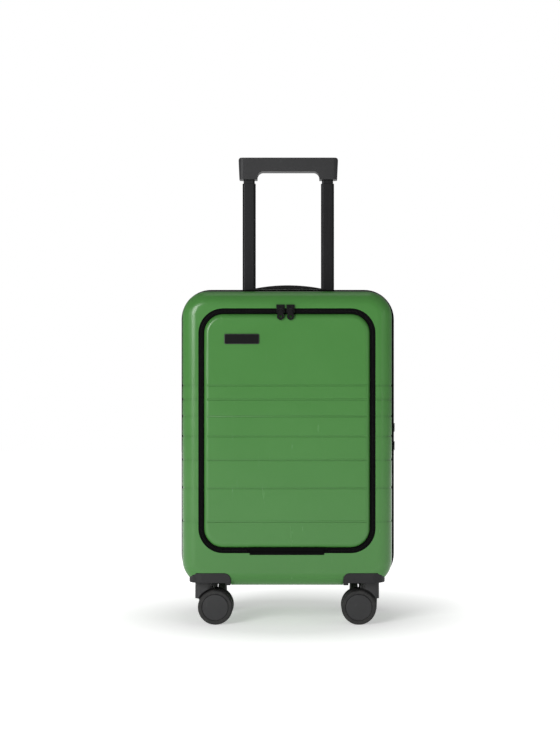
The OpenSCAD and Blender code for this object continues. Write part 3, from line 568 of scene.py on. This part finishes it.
# ---- Trolley ----
# Two telescoping aluminium tubes run in a cup in the top of the rear shell and stand on a bracket at its
# floor. The grip is two moulded halves screwed together, with the release button in its top.
tube_metal = brushed("tube_aluminium", (0.015, 0.015, 0.016), (0.024, 0.024, 0.025), (1, 1, 90), 0.85, 0.32)
for stage in ("trolley_outer", "middle_tube", "inner_tube"):
    for end in ("left", "right"):
        moulded(f"{stage}_{end}", tube_metal, "tube_metal", 0.0005)
moulded("trolley_cup", charcoal_plastic, "grey_plastic", 0.0008)
moulded("trolley_bracket", charcoal_plastic, "grey_plastic", 0.0006)
grip_plastic = moulded_plastic("grip_plastic", (0.016, 0.016, 0.017), (0.023, 0.023, 0.024), 0.0012, 0.42)
moulded("grip_front", grip_plastic, "grey_plastic", 0.0010, 3)
moulded("grip_back", grip_plastic, "grey_plastic", 0.0010, 3)
moulded("grip_button", soft_black, "black_plastic", 0.0005)
moulded("grip_screws", steel, "steel", 0.0002)
moulded("back_rivets", steel, "steel", 0.0002)


# ---- Casters ----
# A moulded housing at each corner holds a steel pin, and a fork swivels on it with two wheels beside each
# other. Each wheel is a hard hub with a rubber tyre round it.
def tyre_rubber():
    rubber = Finish("tyre_rubber")
    grain = rubber.cloud(0.0008, 3)
    dust = rubber.between(rubber.cloud(0.01, 4), 0.45, 0.7, 0, 1)
    body = rubber.tint(dust, (0.018, 0.018, 0.018), (0.034, 0.033, 0.032))
    return rubber.finished(body, 0.6 + 0.2 * dust, grain, 0.00008, Specular_IOR_Level=0.3)


rubber = tyre_rubber()
housing_plastic = moulded_plastic("housing_plastic", (0.010, 0.010, 0.011), (0.015, 0.015, 0.016))
fork_plastic = moulded_plastic("fork_plastic", (0.024, 0.024, 0.025), (0.034, 0.034, 0.035))
for row in ("front", "rear"):
    moulded(f"{row}_swivel_pins", steel, "steel", 0.0004)
    for end in ("left", "right"):
        corner = f"{row}_{end}"
        moulded(f"{corner}_housing", housing_plastic, "grey_plastic", 0.0012, 3)
        moulded(f"{corner}_fork", fork_plastic, "grey_plastic", 0.0007)
        moulded(f"{corner}_axle", steel, "steel", 0.0003)
        moulded(f"{corner}_wheels", fork_plastic, "grey_plastic", 0.0004)
        moulded(f"{corner}_tyres", rubber, "tyre_rubber", 0.0005)


# ---- Linings ----
# Each half is lined with thin grey polyester, glued round the rim, drawn over the sides and floor and
# slightly puckered. It is cut out round the caster housings, and at the back round the cup, lock and handle.
cloth_thickness = 0.0006
lining_radius, lining_rim, lining_turn = 0.0420, 0.0030, 0.0055
lining_pucker = 0.0016
under_housing = 0.03
sleeve_width, sleeve_inset, sleeve_room_y, sleeve_room_z = 0.034, 0.015, 0.0014, 0.002


def cloth_tray(name, section, across, up, middle, side, parts, shape):
    """Cloth over the sides and floor of a tray. shape says how far, in metres, each point moves inwards."""
    sides = run_round(name, section, across, up, middle, side, False, 8, parts)
    bpy.ops.object.select_all(action="DESELECT")
    bpy.ops.mesh.primitive_grid_add(x_subdivisions=parts[0], y_subdivisions=parts[1], size=1)
    bottom = bpy.context.object
    for v in bottom.data.vertices:
        v.co = (2 * across * v.co.x, side * section[-1][1], middle + 2 * up * v.co.y)
    pick(sides, bottom)
    bpy.ops.object.join()
    bpy.ops.object.mode_set(mode="EDIT")
    bpy.ops.mesh.select_all(action="SELECT")
    bpy.ops.mesh.remove_doubles(threshold=0.0001)
    bpy.ops.mesh.normals_make_consistent(inside=False)
    bpy.ops.object.mode_set(mode="OBJECT")
    heart = Vector((0, side * min(point[1] for point in section), middle))
    moves = []
    for v in sides.data.vertices:
        inward = v.normal if v.normal.dot(heart - v.co) > 0 else -v.normal
        moves.append(inward * shape(v.co))
    for v, move in zip(sides.data.vertices, moves):
        v.co += move
    skin = sides.modifiers.new("skin", "SOLIDIFY")
    skin.thickness = cloth_thickness
    skin.offset = 0
    bpy.ops.object.modifier_apply(modifier="skin")
    bpy.ops.object.shade_smooth_by_angle(angle=radians(50))
    return sides


def cut_away(piece, node, deeper=0, grown=0.0007):
    """Cuts a piece clear of the full form round a CAD node, and of the room that far below it."""
    form = frame["nodes"][node].copy()
    form.data = form.data.copy()
    bpy.context.scene.collection.objects.link(form)
    form.parent = None
    form.hide_viewport = form.hide_render = False
    low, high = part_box(node)
    pick(form)
    bpy.ops.object.mode_set(mode="EDIT")
    bpy.ops.mesh.select_all(action="SELECT")
    bpy.ops.mesh.convex_hull()
    bpy.ops.object.mode_set(mode="OBJECT")
    centre = (low + high) / 2
    for v in form.data.vertices:
        v.co += Vector([grown if v.co[k] > centre[k] else -grown for k in range(3)])
        if v.co.z < centre.z:
            v.co.z -= deeper
    take_off(piece, form)


def take_off(piece, form):
    """Cuts a closed form out of a piece, and removes the form."""
    pick(piece)
    cut = piece.modifiers.new("cut", "BOOLEAN")
    cut.object = form
    cut.operation = "DIFFERENCE"
    cut.solver = "EXACT"
    bpy.ops.object.modifier_apply(modifier="cut")
    bpy.data.objects.remove(form)


def lining_section(depth):
    """Half of a lining's section: a drafted side, a rounded edge and the floor, midway through the cloth."""
    slope, turn = radians(3.3), lining_turn
    floor_depth = depth - 0.0005
    centre_out = lining_radius - (turn + (floor_depth - turn) * sin(slope)) / cos(slope)
    centre_depth = floor_depth - turn
    side_end = centre_depth + turn * sin(slope)
    sides = [(lining_radius - t * tan(slope), t)
             for t in [lining_rim + (side_end - lining_rim) * k / 10 for k in range(10)]]
    turned = [(centre_out + turn * cos(a), centre_depth + turn * sin(a))
              for a in [slope + (pi / 2 - slope) * k / 5 for k in range(6)]]
    return sides + turned + [(centre_out * k / 4, floor_depth) for k in (3, 2, 1, 0)]


def puckered(co):
    """How far a point of a lining stands inwards: nothing near the zip, then folds of cloth."""
    ramp = min(1, max(0, (abs(co.y) - 0.016) / 0.02))
    folds = noise.noise(Vector((co.x * 26, co.y * 60, co.z * 22)))
    fine = noise.noise(Vector((co.x * 70 + 9, co.y * 30, co.z * 70)))
    return lining_pucker * ramp * min(1, abs(folds) + 0.4 * abs(fine))


lining_cloth = cloth("lining_polyester", (0.110, 0.118, 0.125), (0.165, 0.175, 0.185), 0.0004, 0.6, 0.00006,
                     0.3, 0.25)
for end, side, depth in (("rear", 1, 0.0705), ("front", -1, 0.0757)):
    lining = cloth_tray(f"{end}_lining_sewn", lining_section(depth), case_across, case_up, case_middle, side,
                        (24, 36), puckered)
    for hand in ("left", "right"):
        cut_away(lining, f"{end}_{hand}_housing", under_housing)
    if side > 0:
        cut_away(lining, "trolley_cup")
        cut_away(lining, "lock_case")
        low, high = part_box("carry_handle_mounts")
        for hand in (-1, 1):
            bpy.ops.object.select_all(action="DESELECT")
            bpy.ops.mesh.primitive_cube_add(size=1)
            block = bpy.context.object
            for v in block.data.vertices:
                v.co = (hand * (high.x - sleeve_inset + v.co.x * sleeve_width),
                        (low.y + high.y) / 2 + v.co.y * (high.y - low.y + sleeve_room_y),
                        (low.z + high.z) / 2 + v.co.z * (high.z - low.z + sleeve_room_z))
            take_off(lining, block)
    dress(lining, lining_cloth, f"{end}_body", "lining_cloth", f"{end}_lining")


# ---- Divider ----
# A panel of black cloth closes the front half. It is bound all round with a folded tape, and sags a little
# into the half, most in its middle.
divider_radius, divider_depth = 0.0402, 0.0066
divider_sag, sag_half_width, sag_half_height = 0.0025, 0.165, 0.232


def sagging(co):
    """How far a point of the divider moves along Y. Less than nothing is towards the front."""
    across = max(0, 1 - (co.x / sag_half_width) ** 2)
    upward = max(0, 1 - ((co.z - case_middle) / sag_half_height) ** 2)
    return -divider_sag * across * upward


divider_cloth = cloth("divider_weave", (0.006, 0.006, 0.006), (0.016, 0.016, 0.017), 0.0008, 0.75, 0.00015,
                      0.2, 0.2)
divider = cloth_tray(
    "divider_panel_sewn", [(k / 4 * divider_radius, divider_depth) for k in (4, 3, 2, 1, 0)],
    case_across, case_up, case_middle, -1, (20, 28), lambda co: 0)
for v in divider.data.vertices:
    v.co.y += sagging(v.co)
dress(divider, divider_cloth, "front_body", "zip_black", "divider_panel")
binding = run_round(
    "divider_binding",
    [(0.0340, 0.0061), (0.0402, 0.0060), (0.0407, 0.0063), (0.0407, 0.0069), (0.0402, 0.0072),
     (0.0340, 0.0071)],
    case_across, case_up, case_middle, -1)
dress(binding, zip_cloth, "front_body", "zip_black")


# ---- Packing straps ----
# Two straps of woven webbing cross in the rear half, held at the corners, and a moulded buckle joins them.
webbing = cloth("strap_webbing", (0.008, 0.008, 0.009), (0.020, 0.020, 0.022), 0.0011, 0.7, 0.0002, 0.1, 0.2)
strap_end_radius = 0.0403
lean = atan2(case_up + strap_end_radius * sin(radians(45)), case_across + strap_end_radius * cos(radians(45)))
for name, turn, depth in (("strap_rising", lean, 0.01235), ("strap_falling", -lean, 0.01285)):
    bpy.ops.object.select_all(action="DESELECT")
    bpy.ops.mesh.primitive_grid_add(x_subdivisions=90, y_subdivisions=6, size=1)
    strap = bpy.context.object
    strap.name = name
    for v in strap.data.vertices:
        along, over = v.co.x * 0.536, v.co.y * 0.025
        v.co = (along * cos(turn) - over * sin(turn), depth,
                case_middle + along * sin(turn) + over * cos(turn))
    thick = strap.modifiers.new("thick", "SOLIDIFY")
    thick.thickness = 0.0005
    thick.offset = 0
    bpy.ops.object.modifier_apply(modifier="thick")
    dress(strap, webbing, "rear_body", "zip_black", "packing_straps")
bpy.ops.object.select_all(action="DESELECT")
bpy.ops.mesh.primitive_cube_add(size=1)
buckle = bpy.context.object
buckle.name = "strap_buckle"
buckle_width, buckle_thickness, buckle_height, buckle_depth = 0.056, 0.0080, 0.042, 0.0077
for v in buckle.data.vertices:
    v.co = (v.co.x * buckle_width, buckle_depth + v.co.y * buckle_thickness,
            case_middle + v.co.z * buckle_height)
bpy.ops.object.mode_set(mode="EDIT")
bpy.ops.mesh.select_mode(type="FACE")
bpy.ops.mesh.select_all(action="DESELECT")
bpy.ops.object.mode_set(mode="OBJECT")
for f in buckle.data.polygons:
    f.select = f.normal.y < -0.9
bpy.ops.object.mode_set(mode="EDIT")
bpy.ops.mesh.inset(thickness=0.006)
bpy.ops.mesh.inset(thickness=0.0012)
bpy.ops.transform.translate(value=(0, 0.0016, 0))
bpy.ops.mesh.select_all(action="SELECT")
bpy.ops.mesh.bevel(offset=0.0009, segments=2, affect="EDGES")
bpy.ops.object.mode_set(mode="OBJECT")
bpy.ops.object.shade_smooth_by_angle(angle=radians(40))
dress(buckle, charcoal_plastic, "rear_body", "zip_black", "packing_straps")


# ---- Pocket liner ----
# A cloth box behind the door, sewn to the frame's zip tape by its turned-out edge.
liner_slack = 0.0018


def slack(co):
    """How far a point of the pocket's cloth stands inwards: nothing near its sewn edge."""
    depth = abs(co.y)
    ramp = min(1, max(0, (0.100 - depth) / 0.008))
    return liner_slack * ramp * min(1, abs(noise.noise(Vector((co.x * 30 + 3, co.y * 70, co.z * 26)))) * 1.4)


liner = cloth_tray(
    "pocket_liner_sewn",
    [(0.0420, 0.1095), (0.0380, 0.1095), (0.0368, 0.1091), (0.0365, 0.1080), (0.0365, 0.1040),
     (0.0365, 0.0990), (0.0365, 0.0940), (0.0365, 0.0890), (0.0365, 0.0840), (0.0365, 0.0800),
     (0.0361, 0.0789), (0.0350, 0.0785), (0.0230, 0.0785), (0.0110, 0.0785), (0, 0.0785)],
    door_across, door_up, door_middle, -1, (20, 30), slack)
dress(liner, lining_cloth, "front_body", "lining_cloth", "pocket_liner")
